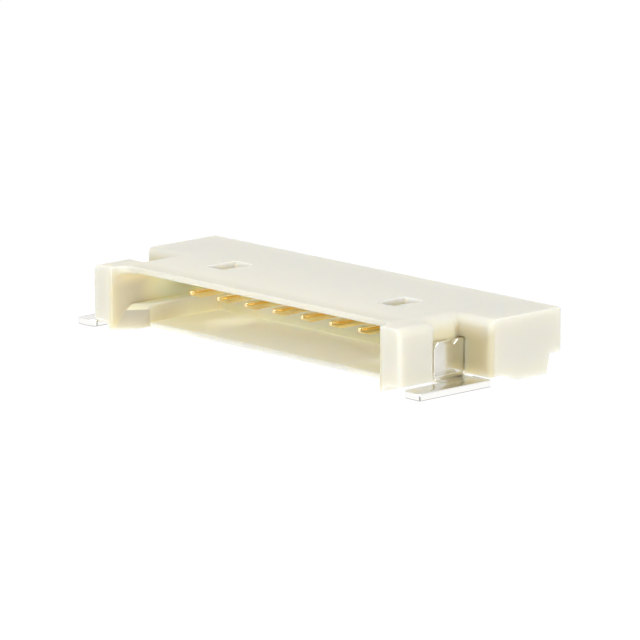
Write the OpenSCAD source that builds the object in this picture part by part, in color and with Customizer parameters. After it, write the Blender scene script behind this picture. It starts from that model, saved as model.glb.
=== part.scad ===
// Low-profile right-angle board header with a row of blade contacts, surface mounted.
// Millimetres. +X runs along the row, the mouth faces -Y, and Z = 0 is the board's surface.
// Distances called setbacks are measured from the front faces of the two guide ears.

/* [Contact row] */
// Number of contacts in the row
contact_count = 8; // [2:1:12]
// Distance from one contact to the next
pitch = 1.25; // [1:0.05:2]
// Thickness of the contact's sheet, which is its width along the row
contact_w = 0.3; // [0.2:0.02:0.4]
// Height of the mating pin
pin_h = 0.24; // [0.2:0.02:0.34]
// Height of the pin's centre line above the board
pin_z = 1.14; // [1.05:0.01:1.25]
// Setback of the pin's tip
tip_setback = 1.83; // [1.3:0.05:2.6]
// Length of the pin's tapered tip
tip_l = 0.3; // [0.2:0.02:0.6]
// Width of the blunt end of the tip
tip_end_w = 0.1; // [0.06:0.02:0.18]
// Height of the blunt end of the tip
tip_end_h = 0.13; // [0.08:0.01:0.18]
// How far the pin's top drops towards the tip
tip_drop = 0.01; // [0:0.005:0.02]

/* [Contact base and tail] */
// Length of the base that is pressed into the rear wall
base_l = 0.85; // [0.7:0.05:1]
// How far the base stands above and below the pin
base_shoulder = 0.12; // [0.06:0.02:0.2]
// Height of a barb on top of the base
barb_h = 0.05; // [0.03:0.01:0.08]
// Length of a barb
barb_l = 0.22; // [0.12:0.02:0.3]
// Width of the leg that goes down to the board
leg_l = 0.4; // [0.25:0.05:0.5]
// Height of the solder tail
tail_h = 0.2; // [0.14:0.02:0.3]
// How far the solder tail reaches past the housing's rear face
tail_reach = 0.65; // [0.3:0.05:1]
// Radius in the corner between leg and tail
tail_fillet = 0.14; // [0.05:0.01:0.2]
// Radius of the tail's upper rear corner
tail_round = 0.1; // [0.04:0.01:0.12]

/* [Housing] */
// Height of the flat top above the board
height = 2.0; // [1.9:0.05:2.6]
// Depth from the ears' front to the rear face
body_depth = 5.8; // [5.6:0.05:7]
// Gap under the housing
standoff = 0.06; // [0.03:0.01:0.1]
// Thickness of the top wall
roof_wall = 0.2; // [0.15:0.01:0.3]
// Thickness of the bottom wall
floor_wall = 0.15; // [0.12:0.01:0.25]
// Depth of the cavity, from the ears' front
cavity_depth = 4.0; // [3.6:0.05:4.1]
// Distance from the end contact to the cavity's end wall
end_margin = 1.55; // [1.35:0.05:2]
// Radius in the cavity's upper corners
cavity_fillet = 0.14; // [0.05:0.01:0.2]
// Thickness of the wall between cavity and contact base
web_wall = 0.25; // [0.15:0.05:0.35]

/* [Mouth] */
// Setback of the top wall's front edge
roof_setback = 0.58; // [0.3:0.02:0.9]
// Plan radius where the top wall's front edge meets an ear
roof_fillet = 0.5; // [0.1:0.05:0.6]
// Lead-in chamfer under the top wall's front edge
roof_chamfer = 0.07; // [0.03:0.01:0.1]
// Setback of the bottom wall's front edge
floor_setback = 1.15; // [0.9:0.05:1.5]
// Width of the guide step along the foot of each end wall
step_w = 0.45; // [0.2:0.01:0.6]
// Height of the guide step's top above the board
step_z = 0.77; // [0.6:0.01:0.9]
// Length of the slant, in plan, of the guide step's front
step_slant = 0.65; // [0.2:0.05:0.8]
// Run of the lead-in bevel at the top of that front
step_bevel = 0.14; // [0.05:0.01:0.3]
// Height of that bevel
step_bevel_h = 0.16; // [0.05:0.01:0.25]
// How far the foot of that front stands out before the bevel's lower edge
step_toe = 0.25; // [0.05:0.01:0.3]

/* [Ears] */
// Thickness of an ear
ear_wall = 0.85; // [0.7:0.05:1]
// Length of an ear
ear_l = 1.4; // [1.2:0.05:1.8]
// Height of the ear's outer underside above the board
ear_lift = 0.27; // [0.15:0.01:0.4]
// Width of the lip that stays low at the ear's inner side
ear_lip = 0.06; // [0.02:0.01:0.1]
// Run of the slope between the low lip and the raised underside
ear_slope = 0.24; // [0.1:0.02:0.24]
// Radius of the ear's outer top edge
ear_top_round = 0.28; // [0.05:0.01:0.35]
// Radius of the ear's outer upright edges
ear_edge_round = 0.12; // [0.05:0.01:0.2]
// Radius of the ear's upper rear edge
ear_back_round = 0.15; // [0.05:0.01:0.2]

/* [Wings and rear] */
// How far a wing stands out past the ear
wing_reach = 0.825; // [0.6:0.025:1.5]
// Setback of the wing's front face
wing_setback = 2.9; // [2.6:0.02:3.2]
// Radius of the wing's upper front edge
wing_top_round = 0.28; // [0.05:0.01:0.4]
// Radius of the wing's upright front edge
wing_edge_round = 0.18; // [0.05:0.01:0.3]
// Clearance between the nail's foot and the raised underside at the wing's front
foot_headroom = 0.05; // [0.03:0.01:0.15]
// Length of that raised underside
wing_lift_l = 0.5; // [0.2:0.05:0.7]
// Length of the slope down from it
wing_slope = 0.66; // [0.3:0.02:0.8]
// Height of the underside of the rear overhang
overhang_z = 0.66; // [0.5:0.02:0.8]
// Depth of the rear overhang
overhang = 0.45; // [0.2:0.05:0.5]
// How much the rear face leans below the overhang
rear_lean = 0.15; // [0:0.01:0.2]
// Radius of the overhang's lower rear edge
overhang_round = 0.1; // [0.04:0.01:0.15]

/* [Lock windows] */
// Distance from the end contact to the window's centre line
window_inset = 0.625; // [0.5:0.025:0.8]
// Width of a window along the row
window_w = 0.74; // [0.4:0.02:0.9]
// Length of a window front to rear
window_l = 1.15; // [0.6:0.05:1.3]
// Setback of a window's front edge
window_setback = 2.3; // [1.6:0.02:2.4]

/* [Fitting nails] */
// Thickness of the nail's sheet
nail_t = 0.22; // [0.15:0.01:0.25]
// Thickness of the housing's wall behind the nail
notch_wall = 0.3; // [0.24:0.01:0.4]
// Radius of that wall's outer top edge
notch_round = 0.4; // [0.1:0.01:0.42]
// Height of the plate's top above the board
plate_top = 1.32; // [1:0.02:1.6]
// Gap between the ear and the plate's front edge
plate_gap = 0.28; // [0.1:0.02:0.4]
// Chamfer on the plate's upper corners
plate_chamfer = 0.18; // [0.05:0.01:0.25]
// Distance from the wing's front to the middle of the notch in the plate's top edge
nick_lead = 0.4; // [0.3:0.02:0.6]
// Width of that notch
nick_w = 0.3; // [0.1:0.02:0.36]
// Depth of that notch
nick_d = 0.14; // [0.06:0.01:0.2]
// Depth of the groove in the wing that grips the plate's rear edge
groove_d = 0.35; // [0.2:0.05:0.5]
// Inner radius of the bend between plate and foot
bend_r = 0.1; // [0.05:0.01:0.15]
// Gap between the bend's rear end and the wing
bend_gap = 0.03; // [0.02:0.01:0.15]
// How far the foot's rear end reaches under the wing
foot_tuck = 0.06; // [0:0.01:0.2]
// How far the foot's outer edge stays inside the wing's end
foot_inset = 0.035; // [0:0.005:0.2]
// Gap between the foot's finger and the ear's outer side
finger_gap = 0.05; // [0.03:0.01:0.25]
// Setback of the finger's front end
finger_setback = 0.05; // [0:0.01:0.4]
// Radius of the finger's inner front corner
finger_round = 0.2; // [0.04:0.01:0.3]
// Radius of the foot's outer corners
foot_round = 0.06; // [0.03:0.01:0.15]

/* [Fits] */
// Clearance around each pressed-in piece
fit_gap = 0.02; // [0.01:0.005:0.03]

/* [Hidden] */
$fn = 64;

ivory = [0.88, 0.86, 0.78];
gold = [0.83, 0.66, 0.33];
tin = [0.78, 0.76, 0.73];

// Lets a cut run clear of the faces that it opens
past = 1;

overall_depth = body_depth + tail_reach;
row_half = (contact_count - 1) / 2 * pitch;

// Half widths, from the middle of the row outwards
cavity_x = row_half + end_margin;
step_x = cavity_x - step_w;
roof_edge_x = cavity_x - roof_fillet;
notch_x = cavity_x + notch_wall;
plate_x = notch_x + fit_gap;
ear_x = cavity_x + ear_wall;
finger_x = ear_x + finger_gap;
wing_x = ear_x + wing_reach;
foot_x = wing_x - foot_inset;
window_x = row_half - window_inset;

floor_z = standoff + floor_wall;
roof_z = height - roof_wall;
middle_z = (step_z + roof_z) / 2;
wing_lift = nail_t + foot_headroom;

// Stations along the depth
base_y = cavity_depth + web_wall;
leg_end_y = base_y + base_l;
leg_y = leg_end_y - leg_l;
rear_top_y = body_depth - overhang;
rear_foot_y = rear_top_y - rear_lean;

pin_low = pin_z - pin_h / 2;
pin_high = pin_z + pin_h / 2;
base_low = pin_low - base_shoulder;
base_high = pin_high + base_shoulder;
bend_z = nail_t + bend_r;

// Puts the origin under the middle of the whole header
module placed() {
    translate([0, -overall_depth / 2, 0]) children();
}

// Extrudes a side profile, drawn as depth and height, across the width
module across(width) {
    rotate([90, 0, 90]) linear_extrude(width, center = true) children();
}

// Extrudes a front profile, drawn as width and height, from one depth to another
module along(from, to) {
    translate([0, to, 0]) rotate([90, 0, 0]) linear_extrude(to - from) children();
}

// Extrudes a plan, drawn as width and depth, from one height to another
module upright(from, to) {
    translate([0, 0, from]) linear_extrude(to - from) children();
}

module both_sides() {
    children();
    mirror([1, 0, 0]) children();
}

// What a round of radius r takes off the upper right corner at p
module corner(p, r) {
    translate(p - [r, r]) difference() {
        square(r + past);
        circle(r);
    }
}

// The same for a corner that faces the other way in its first direction, its second or both
module corner_flipped(p, r, flip_x, flip_y) {
    translate(p) mirror([flip_x, 0]) mirror([0, flip_y]) corner([0, 0], r);
}

// Front profile between given half widths, with the low lip and raised underside at each side
module shell_profile(half, top_round) {
    lip_x = cavity_x + ear_lip;
    difference() {
        translate([-half, standoff]) square([2 * half, height - standoff]);
        both_sides() {
            corner([half, height], top_round);
            polygon([
                [lip_x, standoff - past], [lip_x, standoff], [lip_x + ear_slope, ear_lift],
                [ear_x + past, ear_lift], [ear_x + past, standoff - past]
            ]);
        }
    }
}

// Side profile of the whole body, with the overhang at the rear
module body_profile() {
    difference() {
        polygon([
            [0, standoff], [rear_foot_y, standoff], [rear_top_y, overhang_z],
            [body_depth, overhang_z], [body_depth, height], [0, height]
        ]);
        corner_flipped([body_depth, overhang_z], overhang_round, 0, 1);
    }
}

// Side profile of the wings, with the relief above the nail's solder joint
module wing_profile() {
    lift_end_y = wing_setback + wing_lift_l;
    difference() {
        body_profile();
        polygon([
            [-past, -past], [lift_end_y + wing_slope, -past], [lift_end_y + wing_slope, standoff],
            [lift_end_y, wing_lift], [wing_setback, wing_lift], [wing_setback, height + past],
            [-past, height + past]
        ]);
        corner_flipped([wing_setback, height], wing_top_round, 1, 0);
    }
}

// Middle of the shell, from the ears to the rear face
module core() {
    intersection() {
        along(0, body_depth) shell_profile(notch_x, notch_round);
        across(2 * wing_x) body_profile();
    }
}

// The two ears and what lies between them
module ear_bar() {
    intersection() {
        along(0, ear_l) shell_profile(ear_x, ear_top_round);
        across(2 * ear_x) difference() {
            square([ear_l, height]);
            corner([ear_l, height], ear_back_round);
        }
        upright(0, height) difference() {
            translate([-ear_x, 0]) square([2 * ear_x, ear_l]);
            both_sides() {
                corner([ear_x, ear_l], ear_edge_round);
                corner_flipped([ear_x, 0], ear_edge_round, 0, 1);
            }
        }
    }
}

// The two wings and the rear wall between them
module wing_bar() {
    intersection() {
        across(2 * wing_x) wing_profile();
        upright(0, height) difference() {
            translate([-wing_x, wing_setback]) square([2 * wing_x, body_depth - wing_setback]);
            both_sides() corner_flipped([wing_x, wing_setback], wing_edge_round, 0, 1);
        }
    }
}

// Space for the mating plug
module cavity() {
    along(-past, cavity_depth) difference() {
        translate([-cavity_x, floor_z]) square([2 * cavity_x, roof_z - floor_z]);
        both_sides() corner([cavity_x, roof_z], cavity_fillet);
    }
}

// Cuts the top and bottom walls back between the ears
module mouth() {
    upright(middle_z, height + past) difference() {
        translate([-cavity_x, -past]) square([2 * cavity_x, roof_setback + past]);
        both_sides() corner([cavity_x, roof_setback], roof_fillet);
    }
    across(2 * roof_edge_x) polygon([
        [roof_setback, roof_z - past], [roof_setback + roof_chamfer + past, roof_z - past],
        [roof_setback, roof_z + roof_chamfer]
    ]);
    upright(-past, middle_z)
        translate([-cavity_x, -past]) square([2 * cavity_x, floor_setback + past]);
}

// Rail along the foot of one end wall, which it runs into. Its front is slanted in plan.
module guide_step() {
    intersection() {
        translate([step_x, 0, standoff])
            cube([step_w + ear_lip / 2, cavity_depth + web_wall, step_z - standoff]);
        translate([cavity_x, floor_setback - step_slant, 0])
            rotate([90, 0, atan2(step_w, step_slant)])
                linear_extrude(2 * body_depth, center = true) polygon([
                    [-step_toe, standoff], [0, step_z - step_bevel_h], [step_bevel, step_z],
                    [body_depth, step_z], [body_depth, standoff]
                ]);
    }
}

// Openings in the top that take the plug's lock hooks
module lock_windows() {
    both_sides() upright(middle_z, height + past)
        translate([window_x - window_w / 2, window_setback]) square([window_w, window_l]);
}

// Hole for the pin and slot for the base and leg, open to the rear
module contact_slot() {
    across(contact_w + 2 * fit_gap) {
        translate([cavity_depth - past, pin_low - fit_gap])
            square([web_wall + 2 * past, pin_h + 2 * fit_gap]);
        polygon([
            [base_y - fit_gap, base_low - fit_gap], [leg_y - fit_gap, base_low - fit_gap],
            [leg_y - fit_gap, -past], [body_depth + past, -past],
            [body_depth + past, base_high + barb_h + fit_gap],
            [base_y - fit_gap, base_high + barb_h + fit_gap]
        ]);
    }
}

// Groove in the wing that grips the rear edge of one nail's plate, open at the bottom
module nail_groove() {
    translate([notch_x, ear_l, -past])
        cube([nail_t + 2 * fit_gap, wing_setback - ear_l + groove_d + fit_gap, plate_top + fit_gap + past]);
}

module housing() {
    color(ivory) placed() {
        difference() {
            union() {
                core();
                ear_bar();
                wing_bar();
            }
            cavity();
            mouth();
            lock_windows();
            for (i = [1:contact_count]) translate([contact_x(i), 0, 0]) contact_slot();
            both_sides() nail_groove();
        }
        both_sides() guide_step();
    }
}

function contact_x(i) = (i - 1) * pitch - row_half;

// Outline of the blanked contact, seen from the side
module contact_profile() {
    tip_high = pin_high - tip_drop;
    difference() {
        union() {
            polygon([
                [tip_setback, tip_high], [tip_setback, tip_high - tip_end_h],
                [tip_setback + tip_l, pin_low], [base_y, pin_low], [base_y, base_low],
                [leg_y, base_low], [leg_y, 0], [overall_depth, 0], [overall_depth, tail_h],
                [leg_end_y, tail_h], [leg_end_y, base_high], [base_y, base_high],
                [base_y, pin_high], [tip_setback + tip_l, pin_high]
            ]);
            // Barbs that bite into the slot's roof
            for (end_y = [leg_end_y, leg_end_y - base_l / 2])
                polygon([
                    [end_y - barb_l, base_high], [end_y, base_high], [end_y, base_high + barb_h]
                ]);
            // Fillet between the leg and the tail
            translate([leg_end_y, tail_h]) difference() {
                square(tail_fillet);
                translate([tail_fillet, tail_fillet]) circle(tail_fillet);
            }
        }
        corner([overall_depth, tail_h], tail_round);
    }
}

// Plan of the contact: parallel sides with a tapered tip
module contact_plan() {
    polygon([
        [-tip_end_w / 2, tip_setback], [tip_end_w / 2, tip_setback],
        [contact_w / 2, tip_setback + tip_l], [contact_w / 2, overall_depth],
        [-contact_w / 2, overall_depth], [-contact_w / 2, tip_setback + tip_l]
    ]);
}

module contact(i) {
    color(gold) placed() translate([contact_x(i), 0, 0]) intersection() {
        across(contact_w) contact_profile();
        upright(0, height) contact_plan();
    }
}

// Front profile of the nail's bend and of the flat that joins it to the middle of the foot
module bend_profile() {
    bend_x = plate_x + bend_z;
    translate([bend_x, 0]) square([(finger_x + foot_x) / 2 - bend_x, nail_t]);
    intersection() {
        translate([bend_x, bend_z]) difference() {
            circle(bend_z);
            circle(bend_r);
        }
        translate([plate_x, 0]) square(bend_z);
    }
}

// Side outline of the plate above the bend, with its rear edge in the groove
module plate_profile() {
    front_y = ear_l + plate_gap;
    rear_y = wing_setback + groove_d;
    nick_y = wing_setback - nick_lead;
    polygon([
        [front_y, bend_z], [rear_y, bend_z], [rear_y, plate_top - plate_chamfer],
        [rear_y - plate_chamfer, plate_top], [nick_y + nick_w / 2, plate_top],
        [nick_y, plate_top - nick_d], [nick_y - nick_w / 2, plate_top],
        [front_y + plate_chamfer, plate_top], [front_y, plate_top - plate_chamfer]
    ]);
}

// Plan of the foot's outer part, from the finger beside the ear to the end under the wing
module foot_plan() {
    foot_rear_y = wing_setback + foot_tuck;
    difference() {
        translate([finger_x, finger_setback]) square([foot_x - finger_x, foot_rear_y - finger_setback]);
        corner_flipped([finger_x, finger_setback], finger_round, 1, 1);
        corner_flipped([foot_x, finger_setback], foot_round, 0, 1);
        corner([foot_x, foot_rear_y], foot_round);
    }
}

module fitting_nail() {
    color(tin) {
        along(ear_l + plate_gap, wing_setback - bend_gap) bend_profile();
        translate([plate_x + nail_t / 2, 0, 0]) across(nail_t) plate_profile();
        upright(0, nail_t) foot_plan();
    }
}

module fitting_nail_right() {
    placed() fitting_nail();
}

module fitting_nail_left() {
    placed() mirror([1, 0, 0]) fitting_nail();
}

housing();
for (i = [1:contact_count])
    contact(i);
fitting_nail_left();
fitting_nail_right();
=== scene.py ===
import math

import bpy
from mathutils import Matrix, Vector


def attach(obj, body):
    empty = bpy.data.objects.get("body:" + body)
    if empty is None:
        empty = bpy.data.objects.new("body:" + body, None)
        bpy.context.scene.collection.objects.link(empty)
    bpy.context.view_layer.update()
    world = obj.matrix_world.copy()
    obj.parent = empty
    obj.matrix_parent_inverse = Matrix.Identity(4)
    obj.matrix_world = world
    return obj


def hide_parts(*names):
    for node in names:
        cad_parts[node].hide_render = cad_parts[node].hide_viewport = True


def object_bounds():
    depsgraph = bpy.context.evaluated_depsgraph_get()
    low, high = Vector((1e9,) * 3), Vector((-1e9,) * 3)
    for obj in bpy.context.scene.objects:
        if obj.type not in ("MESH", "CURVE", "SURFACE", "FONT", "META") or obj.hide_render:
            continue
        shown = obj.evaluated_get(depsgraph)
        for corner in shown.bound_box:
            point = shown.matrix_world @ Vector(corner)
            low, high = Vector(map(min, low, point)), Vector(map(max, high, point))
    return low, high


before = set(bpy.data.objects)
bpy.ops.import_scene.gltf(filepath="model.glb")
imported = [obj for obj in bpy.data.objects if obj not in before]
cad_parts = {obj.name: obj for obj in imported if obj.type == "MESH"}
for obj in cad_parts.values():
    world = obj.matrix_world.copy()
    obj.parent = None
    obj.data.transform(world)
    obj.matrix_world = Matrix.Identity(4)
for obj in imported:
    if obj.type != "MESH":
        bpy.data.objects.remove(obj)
cad_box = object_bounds()


# View: the header is seen from its front right corner and a little from above, through a long
# lens, so that the far ear looks hardly smaller than the near one.
mm = 0.001
view_azimuth = math.radians(46.962)
view_elevation = math.radians(11.779)
view_distance = 188.8 * mm
view_aim = Vector((-5.30, 4.887, -0.69)) * mm
lens_mm = 338.5
sensor_mm = 36
nearest_seen = 1 * mm
furthest_seen = 10

towards_camera = Vector((
    math.sin(view_azimuth) * math.cos(view_elevation),
    -math.cos(view_azimuth) * math.cos(view_elevation),
    math.sin(view_elevation),
))
bpy.ops.object.select_all(action="DESELECT")
bpy.ops.object.camera_add(
    location=view_aim + towards_camera * view_distance,
    rotation=(-towards_camera).to_track_quat("-Z", "Y").to_euler(),
)
camera = bpy.context.object
camera.name = "view"
camera.data.sensor_width = sensor_mm
camera.data.lens = lens_mm
camera.data.clip_start = nearest_seen
camera.data.clip_end = furthest_seen
scene = bpy.context.scene
scene.camera = camera
scene.view_settings.view_transform = "Standard"


# Table and light: a white opal tabletop, faintly lit from below, with soft lamps above the header,
# before its mouth, one low and one high, and low at its right. The camera and the metal see table
# and sky as white.
table_size = 1.2
table_white = (0.4, 0.4, 0.4, 1)
table_roughness = 0.9
panel_level = 0.8
# How far the table is seen as plain white instead of as it is lit
table_bleach = 0.9
sky_white = (1, 1, 1, 1)
sky_level = 0.32
# The metal also sees a dim patch of sky behind the camera
dim_level = 0.15
dim_inner = math.radians(14)
dim_outer = math.radians(34)
front_lamp_level = 3.2
front_lamp_size = (200 * mm, 20 * mm)
front_lamp_place = Vector((-61, -227, 10.5)) * mm
side_lamp_level = 20
side_lamp_size = (160 * mm, 20 * mm)
side_lamp_place = Vector((207, -110, 10.5)) * mm
high_lamp_level = 2.5
high_lamp_size = (160 * mm, 70 * mm)
high_lamp_place = Vector((-30, -190, 150)) * mm
top_lamp_level = 4.3
top_lamp_size = (200 * mm, 200 * mm)
top_lamp_place = Vector((30, -30, 260)) * mm


def set_or_link(tree, socket, value):
    """Links a socket to another node's output, or sets it to a plain value."""
    if isinstance(value, bpy.types.NodeSocket):
        tree.links.new(value, socket)
    else:
        socket.default_value = value


def number_step(tree, operation, first, second=None):
    """Adds one calculation with numbers and returns its result."""
    step = tree.nodes.new("ShaderNodeMath")
    step.operation = operation
    set_or_link(tree, step.inputs[0], first)
    if second is not None:
        set_or_link(tree, step.inputs[1], second)
    return step.outputs["Value"]


def from_to(tree, value, low, high, start=0.0, end=1.0, kind="LINEAR"):
    """Maps a number that runs from start to end onto the range from low to high."""
    step = tree.nodes.new("ShaderNodeMapRange")
    step.interpolation_type = kind
    set_or_link(tree, step.inputs["Value"], value)
    step.inputs["From Min"].default_value = start
    step.inputs["From Max"].default_value = end
    step.inputs["To Min"].default_value = low
    step.inputs["To Max"].default_value = high
    return step.outputs["Result"]


def seen_plainly(tree, rays):
    """Gives 1 where a camera, glossy or transmitted ray looks, and 0 where light is gathered."""
    seen = rays.outputs["Is Camera Ray"]
    for kind in ("Is Glossy Ray", "Is Transmission Ray"):
        seen = number_step(tree, "MAXIMUM", seen, rays.outputs[kind])
    return seen


def add_lamp(name, place, size, level):
    """Adds an oblong lamp that faces the header, as bright as its level says all over its face."""
    aim = (-place).to_track_quat("-Z", "Y").to_euler()
    bpy.ops.object.light_add(type="AREA", location=place, rotation=aim)
    lamp = bpy.context.object
    lamp.name = name
    lamp.data.shape = "RECTANGLE"
    lamp.data.size, lamp.data.size_y = size
    lamp.data.energy = level * math.pi * size[0] * size[1]


sky = bpy.data.worlds.new("sky")
scene.world = sky
sky.use_nodes = True
sky_tree = sky.node_tree
sky_tree.nodes.clear()
sky_out = sky_tree.nodes.new("ShaderNodeOutputWorld")
sky_lit = sky_tree.nodes.new("ShaderNodeBackground")
sky_lit.inputs["Color"].default_value = sky_white
sky_lit.inputs["Strength"].default_value = sky_level
sky_seen = sky_tree.nodes.new("ShaderNodeBackground")
sky_seen.inputs["Color"].default_value = sky_white
sky_way = sky_tree.nodes.new("ShaderNodeTexCoord")
sky_turn = sky_tree.nodes.new("ShaderNodeVectorMath")
sky_turn.operation = "DOT_PRODUCT"
sky_turn.inputs[1].default_value = towards_camera
sky_tree.links.new(sky_way.outputs["Generated"], sky_turn.inputs[0])
sky_dim = from_to(sky_tree, sky_turn.outputs["Value"], 1.0, dim_level,
                  start=math.cos(dim_outer), end=math.cos(dim_inner), kind="SMOOTHSTEP")
sky_rays = sky_tree.nodes.new("ShaderNodeLightPath")
sky_not_glossy = number_step(sky_tree, "SUBTRACT", 1.0, sky_rays.outputs["Is Glossy Ray"])
sky_brightness = number_step(sky_tree, "MAXIMUM", sky_dim, sky_not_glossy)
sky_tree.links.new(sky_brightness, sky_seen.inputs["Strength"])
sky_mix = sky_tree.nodes.new("ShaderNodeMixShader")
sky_tree.links.new(seen_plainly(sky_tree, sky_rays), sky_mix.inputs["Fac"])
sky_tree.links.new(sky_lit.outputs["Background"], sky_mix.inputs[1])
sky_tree.links.new(sky_seen.outputs["Background"], sky_mix.inputs[2])
sky_tree.links.new(sky_mix.outputs["Shader"], sky_out.inputs["Surface"])

bpy.ops.object.select_all(action="DESELECT")
bpy.ops.mesh.primitive_plane_add(size=table_size, location=(0, 0, cad_box[0].z))
table = bpy.context.object
table.name = "tabletop"

table_finish = bpy.data.materials.new("white_tabletop")
table_finish.use_nodes = True
table_tree = table_finish.node_tree
table_out = table_tree.nodes["Material Output"]
table_paint = table_tree.nodes["Principled BSDF"]
table_paint.inputs["Base Color"].default_value = table_white
table_paint.inputs["Roughness"].default_value = table_roughness
table_paint.inputs["Specular IOR Level"].default_value = 0
table_panel = table_tree.nodes.new("ShaderNodeEmission")
table_panel.inputs["Strength"].default_value = panel_level
table_lit = table_tree.nodes.new("ShaderNodeAddShader")
table_glow = table_tree.nodes.new("ShaderNodeEmission")
table_glow.inputs["Strength"].default_value = 1
table_rays = table_tree.nodes.new("ShaderNodeLightPath")
table_seen = seen_plainly(table_tree, table_rays)
table_share = number_step(table_tree, "MULTIPLY", table_seen, table_bleach)
table_mix = table_tree.nodes.new("ShaderNodeMixShader")
table_tree.links.new(table_share, table_mix.inputs["Fac"])
table_tree.links.new(table_paint.outputs["BSDF"], table_lit.inputs[0])
table_tree.links.new(table_panel.outputs["Emission"], table_lit.inputs[1])
table_tree.links.new(table_lit.outputs["Shader"], table_mix.inputs[1])
table_tree.links.new(table_glow.outputs["Emission"], table_mix.inputs[2])
table_tree.links.new(table_mix.outputs["Shader"], table_out.inputs["Surface"])
table.data.materials.append(table_finish)

add_lamp("front_lamp", front_lamp_place, front_lamp_size, front_lamp_level)
add_lamp("side_lamp", side_lamp_place, side_lamp_size, side_lamp_level)
add_lamp("high_lamp", high_lamp_place, high_lamp_size, high_lamp_level)
add_lamp("top_lamp", top_lamp_place, top_lamp_size, top_lamp_level)


# Housing: one moulding of natural nylon, ivory and a little see-through. Painted light makes the
# cavity pale yellow and painted shade makes the nail notches tan, in its colour. The tool leaves
# the edges slightly round and the faces with a fine grain.
housing_round = 0.025 * mm
round_steps = 3
round_profile = 0.5
sharp_from = math.radians(24)
flat_within = math.radians(0.2)
weld_within = 0.0005 * mm
smooth_below = math.radians(30)
flat_weight = 100
ivory = (0.69, 0.678, 0.601, 1)
ivory_flow = (0.67, 0.658, 0.581, 1)
ivory_cloud_mm = 1.3
ivory_grain_mm = 0.03
ivory_roughness = (0.40, 0.54)
ivory_bump = 0.2
ivory_bump_depth = 0.004 * mm
# How far light goes in the nylon, and the share of that way for red, green and blue
ivory_reach = 0.8 * mm
ivory_depth = (1.0, 0.85, 0.6)
# Painted light and painted shade on the ivory, in mm: middle, reach from the middle, the width
# over which it fades there, and the colour
ivory_painted_light_and_shade = (
    # Painted shade in the nail notch
    ((6.4, -0.95, 0.6), (0.35, 0.6, 0.6), (0.6, 0.2, 0.75), (0.80, 0.71, 0.47, 1)),
    # Painted shade on the front of the wing beside the notch
    ((6.65, -0.325, 0.95), (0.4, 0.05, 0.25), (1.2, 0.16, 0.75), (0.50, 0.437, 0.255, 1)),
    # Painted light on the walls of the lock window
    ((3.75, -0.35, 1.9), (0.39, 0.595, 0.1), (0.02, 0.02, 0.01), (1.0, 0.97, 0.84, 1)),
    # Painted light in the cavity, pale yellow as if lit through its walls
    ((0, -0.825, 0.9975), (5.95, 1.625, 0.7925), (0.2, 0.7, 0.012), (1.0, 0.93, 0.745, 1)),
    # Painted shade on the lower ends of the cavity
    ((4.9, -0.825, 0.55), (0.9, 1.625, 0.55), (1.0, 0.7, 0.2), (0.87, 0.83, 0.66, 1)),
    # Painted shade on the rounding under the roof at the end of the mouth
    ((5.8, -2.4, 1.72), (0.15, 0.5, 0.06), (0.1, 0.8, 0.2), (0.68, 0.645, 0.51, 1)),
    # Painted shade on the front edge of the roof
    ((0, -2.645, 1.92), (5.4, 0.06, 0.1), (0.5, 0.8, 0.03), (0.58, 0.57, 0.505, 1)),
    # Painted light on the end wall of the cavity, then painted shade on its front part
    ((5.95, -0.8, 0.9), (0.055, 1.5, 0.65), (0.03, 0.9, 0.25), (1.0, 0.885, 0.57, 1)),
    ((5.95, -2.7, 0.75), (0.055, 0.5, 0.5), (0.03, 1.2, 0.7), (0.63, 0.58, 0.42, 1)),
    # Painted light on the top of the guide step, painted shade on its inner side and its front
    ((5.665, -1.2, 0.78), (0.18, 1.5, 0.02), (0.03, 0.3, 0.03), (0.92, 0.90, 0.75, 1)),
    ((5.475, -1.9, 0.35), (0.03, 0.4, 0.3), (0.03, 1.2, 0.1), (0.72, 0.68, 0.53, 1)),
    ((5.68, -2.66, 0.32), (0.2, 0.54, 0.27), (0.04, 0.1, 0.03), (0.53, 0.50, 0.40, 1)),
)


def rounded_copy(node, name, edge_round):
    """Copies a solid, joins its triangles into whole faces and rounds its edges."""
    piece = bpy.data.objects.new(name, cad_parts[node].data.copy())
    scene.collection.objects.link(piece)
    bpy.ops.object.select_all(action="DESELECT")
    piece.select_set(True)
    bpy.context.view_layer.objects.active = piece
    bpy.ops.mesh.customdata_custom_splitnormals_clear()
    bpy.ops.object.mode_set(mode="EDIT")
    bpy.ops.mesh.select_mode(type="EDGE")
    bpy.ops.mesh.select_all(action="SELECT")
    bpy.ops.mesh.remove_doubles(threshold=weld_within)
    bpy.ops.mesh.dissolve_limited(angle_limit=flat_within)
    bpy.ops.mesh.select_all(action="DESELECT")
    bpy.ops.mesh.edges_select_sharp(sharpness=sharp_from)
    bpy.ops.mesh.bevel(
        offset=edge_round, segments=round_steps, profile=round_profile, affect="EDGES"
    )
    bpy.ops.object.mode_set(mode="OBJECT")
    bpy.ops.object.shade_smooth_by_angle(angle=smooth_below)
    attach(piece, "root")
    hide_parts(node)
    return piece


def new_finish(name):
    """Makes a material and returns it with its node tree and its surface shader."""
    finish = bpy.data.materials.new(name)
    finish.use_nodes = True
    return finish, finish.node_tree, finish.node_tree.nodes["Principled BSDF"]


def new_effect(name, inputs, outputs):
    """Starts a node group with the named sockets and returns it with its two end nodes."""
    effect = bpy.data.node_groups.new(name, "ShaderNodeTree")
    for socket, kind in inputs:
        effect.interface.new_socket(name=socket, in_out="INPUT", socket_type="NodeSocket" + kind)
    for socket, kind in outputs:
        effect.interface.new_socket(name=socket, in_out="OUTPUT", socket_type="NodeSocket" + kind)
    return effect, effect.nodes.new("NodeGroupInput"), effect.nodes.new("NodeGroupOutput")


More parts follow.
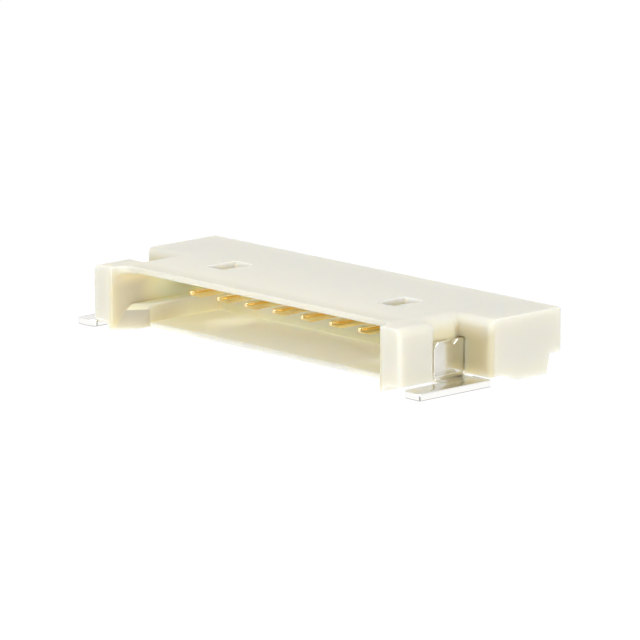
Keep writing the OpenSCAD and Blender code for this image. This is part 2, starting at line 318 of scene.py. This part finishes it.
def use_effect(tree, effect, **values):
    """Places a node group in a material and sets or links its values."""
    node = tree.nodes.new("ShaderNodeGroup")
    node.node_tree = effect
    for socket, value in values.items():
        set_or_link(tree, node.inputs[socket], value)
    return node


def vector_step(tree, operation, first, second=None):
    """Adds one vector calculation and returns its result."""
    step = tree.nodes.new("ShaderNodeVectorMath")
    step.operation = operation
    set_or_link(tree, step.inputs[0], first)
    if second is not None:
        set_or_link(tree, step.inputs[1], second)
    return step.outputs["Vector"]


def blended(tree, share, first, second):
    """Mixes two colours by a share from 0 to 1."""
    mix = tree.nodes.new("ShaderNodeMix")
    mix.data_type = "RGBA"
    set_or_link(tree, mix.inputs["Factor"], share)
    set_or_link(tree, mix.inputs["A"], first)
    set_or_link(tree, mix.inputs["B"], second)
    return mix.outputs["Result"]


def place_in_mm(tree):
    """Gives the place on the piece in millimetres, in the frame of the whole header."""
    coordinates = tree.nodes.new("ShaderNodeTexCoord")
    scaled = tree.nodes.new("ShaderNodeMapping")
    scaled.inputs["Scale"].default_value = (1 / mm, 1 / mm, 1 / mm)
    tree.links.new(coordinates.outputs["Object"], scaled.inputs["Vector"])
    return scaled.outputs["Vector"]


def on_right_half(tree, place):
    """Mirrors a place to the header's right half, for what both halves have alike."""
    apart = tree.nodes.new("ShaderNodeSeparateXYZ")
    together = tree.nodes.new("ShaderNodeCombineXYZ")
    tree.links.new(place, apart.inputs["Vector"])
    tree.links.new(number_step(tree, "ABSOLUTE", apart.outputs["X"]), together.inputs["X"])
    tree.links.new(apart.outputs["Y"], together.inputs["Y"])
    tree.links.new(apart.outputs["Z"], together.inputs["Z"])
    return together.outputs["Vector"]


def bumped(tree, face, height, strength, depth):
    """Roughens the shader's normal by a height field of the given depth."""
    bump = tree.nodes.new("ShaderNodeBump")
    bump.inputs["Strength"].default_value = strength
    bump.inputs["Distance"].default_value = depth
    tree.links.new(height, bump.inputs["Height"])
    tree.links.new(bump.outputs["Normal"], face.inputs["Normal"])


# Mottle and grain: soft clouds of one size and a fine grain of another, both in mm. Most of the
# grain lies within the span.
cloud_detail = 3.0
grain_detail = 2.0
grain_span = (0.3, 0.7)
grain, grain_in, grain_out = new_effect(
    "mottle_and_grain",
    [("Place", "Vector"), ("Cloud", "Float"), ("Grain", "Float")],
    [("Clouds", "Float"), ("Fine", "Float")],
)
for size, result, detail in (("Cloud", "Clouds", cloud_detail), ("Grain", "Fine", grain_detail)):
    noise = grain.nodes.new("ShaderNodeTexNoise")
    noise.inputs["Detail"].default_value = detail
    spots_per_mm = number_step(grain, "DIVIDE", 1.0, grain_in.outputs[size])
    grain.links.new(grain_in.outputs["Place"], noise.inputs["Vector"])
    grain.links.new(spots_per_mm, noise.inputs["Scale"])
    grain.links.new(noise.outputs["Fac"], grain_out.inputs[result])

# Soft box: 1 inside a box, fading to 0 outside it over a width of its own in each direction
soft_box, box_in, box_out = new_effect(
    "soft_box",
    [("Place", "Vector"), ("Middle", "Vector"), ("Reach", "Vector"), ("Fade", "Vector")],
    [("Inside", "Float")],
)
off_middle = vector_step(soft_box, "SUBTRACT", box_in.outputs["Place"], box_in.outputs["Middle"])
outside = vector_step(soft_box, "ABSOLUTE", off_middle)
outside = vector_step(soft_box, "SUBTRACT", outside, box_in.outputs["Reach"])
outside = vector_step(soft_box, "DIVIDE", outside, box_in.outputs["Fade"])
apart = soft_box.nodes.new("ShaderNodeSeparateXYZ")
soft_box.links.new(outside, apart.inputs["Vector"])
furthest = number_step(soft_box, "MAXIMUM", apart.outputs["X"], apart.outputs["Y"])
furthest = number_step(soft_box, "MAXIMUM", furthest, apart.outputs["Z"])
inside = from_to(soft_box, furthest, 1.0, 0.0, kind="SMOOTHSTEP")
soft_box.links.new(inside, box_out.inputs["Inside"])

moulding = rounded_copy("housing", "moulded_housing", housing_round)
# The large faces stay flat up to their rounded edges
flat_faces = moulding.modifiers.new("flat_faces", "WEIGHTED_NORMAL")
flat_faces.mode = "FACE_AREA"
flat_faces.weight = flat_weight
flat_faces.keep_sharp = True
bpy.ops.object.modifier_apply(modifier=flat_faces.name)
nylon, nylon_tree, nylon_face = new_finish("ivory_nylon")
nylon_place = place_in_mm(nylon_tree)
nylon_half = on_right_half(nylon_tree, nylon_place)
nylon_grain = use_effect(
    nylon_tree, grain, Place=nylon_place, Cloud=ivory_cloud_mm, Grain=ivory_grain_mm
)
nylon_colour = blended(nylon_tree, nylon_grain.outputs["Clouds"], ivory, ivory_flow)
# Painted light and painted shade laid over the ivory, zone by zone
for middle, reach, fade, colour in ivory_painted_light_and_shade:
    painted_zone = use_effect(
        nylon_tree, soft_box, Place=nylon_half, Middle=middle, Reach=reach, Fade=fade
    )
    nylon_colour = blended(nylon_tree, painted_zone.outputs["Inside"], nylon_colour, colour)
nylon_tree.links.new(nylon_colour, nylon_face.inputs["Base Color"])
nylon_tree.links.new(
    from_to(nylon_tree, nylon_grain.outputs["Fine"], *ivory_roughness, *grain_span),
    nylon_face.inputs["Roughness"],
)
bumped(nylon_tree, nylon_face, nylon_grain.outputs["Fine"], ivory_bump, ivory_bump_depth)
nylon_face.inputs["Subsurface Weight"].default_value = 1
nylon_face.inputs["Subsurface Radius"].default_value = ivory_depth
nylon_face.inputs["Subsurface Scale"].default_value = ivory_reach
moulding.data.materials.clear()
moulding.data.materials.append(nylon)


# Contacts: blanked from a copper alloy sheet on edge and plated with gold, then pressed into the
# housing from the rear, so that each pin reaches into the cavity. The sheet's rolling lines still
# show in the gold.
contact_round = 0.015 * mm
gold_bright = (1.0, 0.86, 0.51, 1)
gold_dull = (0.98, 0.73, 0.35, 1)
gold_cloud_mm = 0.25
gold_line_mm = 0.04
gold_roughness = (0.06, 0.20)
gold_bump = 0.3
gold_bump_depth = 0.004 * mm
# The range in which most of the clouds and lines on the gold lie
gold_span = (0.35, 0.65)

# Rolling lines: fine streaks at a spacing in mm, drawn out along the header's depth
line_detail = 2.0
line_squeeze = (1, 0.06, 1)
rolled, rolled_in, rolled_out = new_effect(
    "rolling_lines", [("Place", "Vector"), ("Spacing", "Float")], [("Lines", "Float")]
)
streak = rolled.nodes.new("ShaderNodeTexNoise")
streak.inputs["Detail"].default_value = line_detail
squeezed = vector_step(rolled, "MULTIPLY", rolled_in.outputs["Place"], line_squeeze)
lines_per_mm = number_step(rolled, "DIVIDE", 1.0, rolled_in.outputs["Spacing"])
rolled.links.new(squeezed, streak.inputs["Vector"])
rolled.links.new(lines_per_mm, streak.inputs["Scale"])
rolled.links.new(streak.outputs["Fac"], rolled_out.inputs["Lines"])

contact_nodes = sorted(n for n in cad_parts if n.startswith("contact_"))
gold, gold_tree, gold_face = new_finish("gold_plating")
gold_place = place_in_mm(gold_tree)
gold_mottle = use_effect(gold_tree, grain, Place=gold_place, Cloud=gold_cloud_mm)
gold_lines = use_effect(gold_tree, rolled, Place=gold_place, Spacing=gold_line_mm)
gold_wear = from_to(gold_tree, gold_lines.outputs["Lines"], 0.0, 1.0, *gold_span)
gold_colour = blended(gold_tree, gold_wear, gold_bright, gold_dull)
gold_tree.links.new(gold_colour, gold_face.inputs["Base Color"])
gold_tree.links.new(
    from_to(gold_tree, gold_mottle.outputs["Clouds"], *gold_roughness, *gold_span),
    gold_face.inputs["Roughness"],
)
bumped(gold_tree, gold_face, gold_lines.outputs["Lines"], gold_bump, gold_bump_depth)
gold_face.inputs["Metallic"].default_value = 1
for node in contact_nodes:
    contact = rounded_copy(node, "plated_" + node, contact_round)
    contact.data.materials.clear()
    contact.data.materials.append(gold)


# Fitting nails: bent from tinned sheet. The plate is gripped by the wing and the foot is soldered
# to the board, with a finger beside the ear. The tin is bright, with a faintly clouded grain.
nail_round = 0.025 * mm
tin_bright = (0.76, 0.745, 0.68, 1)
tin_cloud = (0.71, 0.69, 0.62, 1)
# Painted light on the foot's flat top
tin_painted_top_light = (0.83, 0.82, 0.79, 1)
# Painted highlight on the foot's cut edges
tin_painted_edge_highlight = (0.95, 0.945, 0.92, 1)
# Painted shade on the foot's lowest rim and the corners of its finger
tin_painted_shade = (0.42, 0.41, 0.39, 1)
tin_cloud_mm = 0.3
tin_cloud_span = (0.35, 0.75)
tin_grain_mm = 0.03
tin_line_mm = 0.05
tin_roughness = (0.12, 0.26)
tin_bump = 0.15
tin_bump_depth = 0.003 * mm
# Painted highlight on the foot's cut edges, painted light on its flat top, painted shade on its
# lowest rim and on the corners of its finger, in mm: middle, reach, fade and colour
foot_painted_light_and_shade = (
    ((7, -1.8, 0.09), (2, 2, 0.09), (1, 1, 0.03), tin_painted_edge_highlight),
    ((7, -1.8, 0.22), (2, 2, 0.012), (1, 1, 0.015), tin_painted_top_light),
    ((7, -1.8, 0), (2, 2, 0.015), (1, 1, 0.02), tin_painted_shade),
    ((7.565, -3.175, 0.1), (0.03, 0.03, 0.1), (0.02, 0.02, 0.02), tin_painted_shade),
    ((6.825, -3.03, 0.1), (0.03, 0.012, 0.1), (0.02, 0.015, 0.02), tin_painted_shade),
)
tin, tin_tree, tin_face = new_finish("tin_plating")
tin_place = place_in_mm(tin_tree)
tin_grain = use_effect(tin_tree, grain, Place=tin_place, Cloud=tin_cloud_mm, Grain=tin_grain_mm)
tin_lines = use_effect(tin_tree, rolled, Place=tin_place, Spacing=tin_line_mm)
tin_share = from_to(tin_tree, tin_grain.outputs["Clouds"], 0.0, 1.0, *tin_cloud_span)
tin_colour = blended(tin_tree, tin_share, tin_bright, tin_cloud)
tin_half = on_right_half(tin_tree, tin_place)
# Painted highlight, painted light and painted shade laid over the tin, zone by zone
for middle, reach, fade, colour in foot_painted_light_and_shade:
    painted_zone = use_effect(tin_tree, soft_box, Place=tin_half, Middle=middle, Reach=reach, Fade=fade)
    tin_colour = blended(tin_tree, painted_zone.outputs["Inside"], tin_colour, colour)
tin_tree.links.new(tin_colour, tin_face.inputs["Base Color"])
tin_tree.links.new(
    from_to(tin_tree, tin_grain.outputs["Fine"], *tin_roughness, *grain_span),
    tin_face.inputs["Roughness"],
)
bumped(tin_tree, tin_face, tin_lines.outputs["Lines"], tin_bump, tin_bump_depth)
tin_face.inputs["Metallic"].default_value = 1
for side in ("left", "right"):
    nail = rounded_copy("fitting_nail_" + side, "tinned_nail_" + side, nail_round)
    nail.data.materials.clear()
    nail.data.materials.append(tin)
